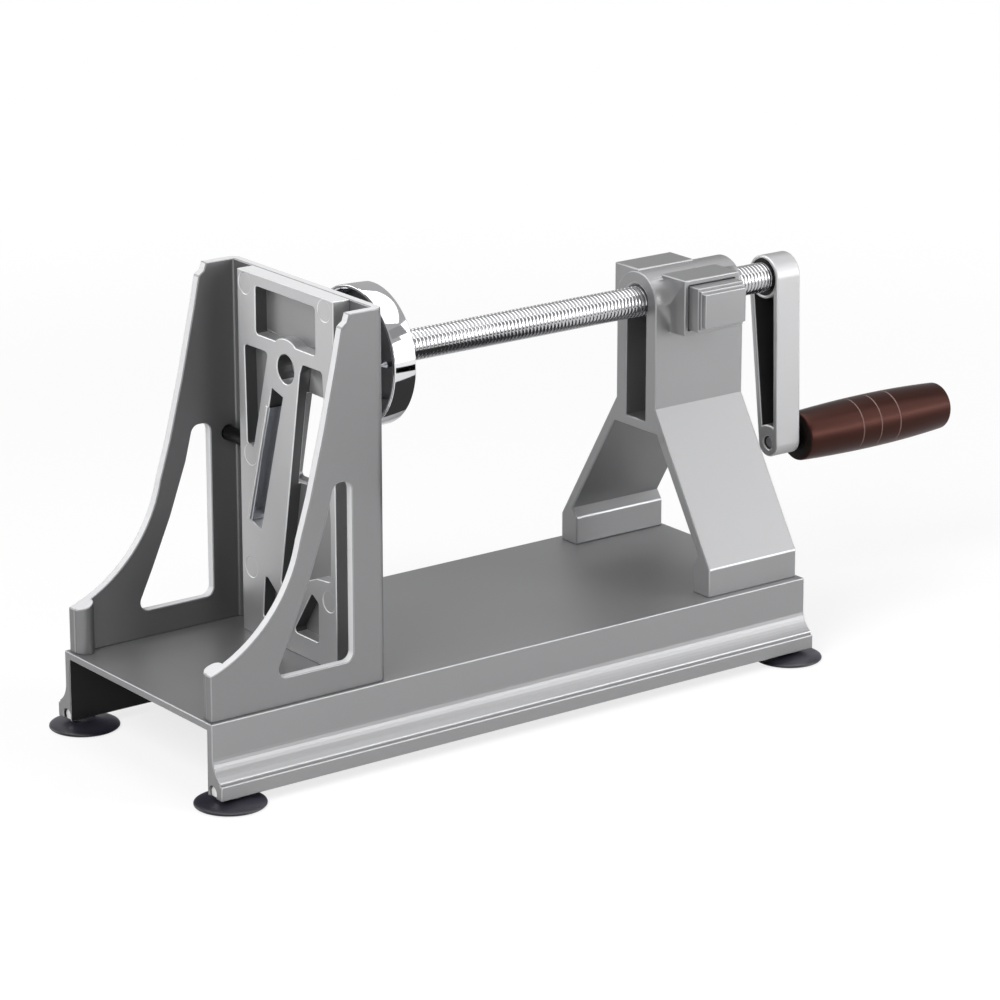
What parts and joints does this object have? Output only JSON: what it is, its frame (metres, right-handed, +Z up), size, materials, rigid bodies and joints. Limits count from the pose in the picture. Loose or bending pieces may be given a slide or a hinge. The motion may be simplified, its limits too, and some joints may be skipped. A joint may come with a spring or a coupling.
{
  "type": "hand cranked vegetable slicer",
  "caption": "Hand cranked spiral vegetable slicer: a threaded spindle and pusher disc feed a bladed frame on a base with suction cups.",
  "frame": {"origin": "middle of the bounding box at the floor under the suction cups", "axes": "+X along the spindle towards the crank, +Y to the side away from the release button, +Z up"},
  "size_m": [0.4576, 0.1476, 0.2006],
  "materials": {
    "base_channel": "satin grey extrusion with bright edges",
    "front_bracket": "satin grey casting",
    "zinc_fasteners": "bright zinc",
    "blade_frame": "satin pale grey casting",
    "slicing_blade": "ground steel",
    "blade_lock_screw": "black finish",
    "stand": "satin grey casting",
    "suction_cups": "soft black rubber with a faint violet sheen",
    "spindle": "mirror bright thread",
    "pusher_disc": "mirror bright rim",
    "prongs": "bright steel",
    "crank_arm": "satin grey casting",
    "release_button": "satin grey",
    "half_nut": "plain machined metal",
    "crank_washer": "dark oiled ring",
    "handle_grip": "dark red-brown, satin sheen"
  },
  "bodies": {
    "frame": {"base_channel": "base_channel", "front_bracket": "front_bracket", "bracket_screws": "zinc_fasteners", "blade_frame": "blade_frame", "frame_screws": "zinc_fasteners", "slicing_blade": "slicing_blade", "blade_screws": "zinc_fasteners", "blade_lock_screw": "blade_lock_screw", "stand": "stand", "stand_screws": "zinc_fasteners", "cup_near_front": "suction_cups", "cup_far_front": "suction_cups", "cup_near_rear": "suction_cups", "cup_far_rear": "suction_cups", "cup_bolts": "zinc_fasteners"},
    "feed_carriage": {"crank_washer": "crank_washer"},
    "spindle_group": {"spindle": "spindle", "pusher_disc": "pusher_disc", "pusher_prongs": "prongs", "disc_screw": "zinc_fasteners", "crank_arm": "crank_arm", "crank_screw": "zinc_fasteners", "handle_bolt": "zinc_fasteners", "handle_nut": "zinc_fasteners", "handle_washer": "zinc_fasteners"},
    "grip": {"handle_grip": "handle_grip"},
    "release": {"release_button": "release_button", "half_nut": "half_nut", "button_pins": "zinc_fasteners"}
  },
  "joints": [
    {"name": "spindle_feed", "type": "slide", "parent": "frame", "child": "feed_carriage", "axis": [1, 0, 0], "range_m": [-0.016, 0.14]},
    {"name": "spindle_turn", "type": "hinge", "parent": "feed_carriage", "child": "spindle_group", "pos_m": [0, 0, 0.1634], "axis": [1, 0, 0], "range_deg": [-2880, 25200]},
    {"name": "handle_spin", "type": "hinge", "parent": "spindle_group", "child": "grip", "pos_m": [0, -0.00577, 0.08481], "axis": [1, 0, 0], "continuous": true},
    {"name": "release_press", "type": "slide", "parent": "frame", "child": "release", "axis": [0, 1, 0], "range_m": [0, 0.0025], "stiffness_N_per_m": 800, "springref_m": -0.003}
  ],
  "couplings": [
    {"joint": "spindle_feed", "follows": "spindle_turn", "m_per_rad": 0.00031831}
  ]
}
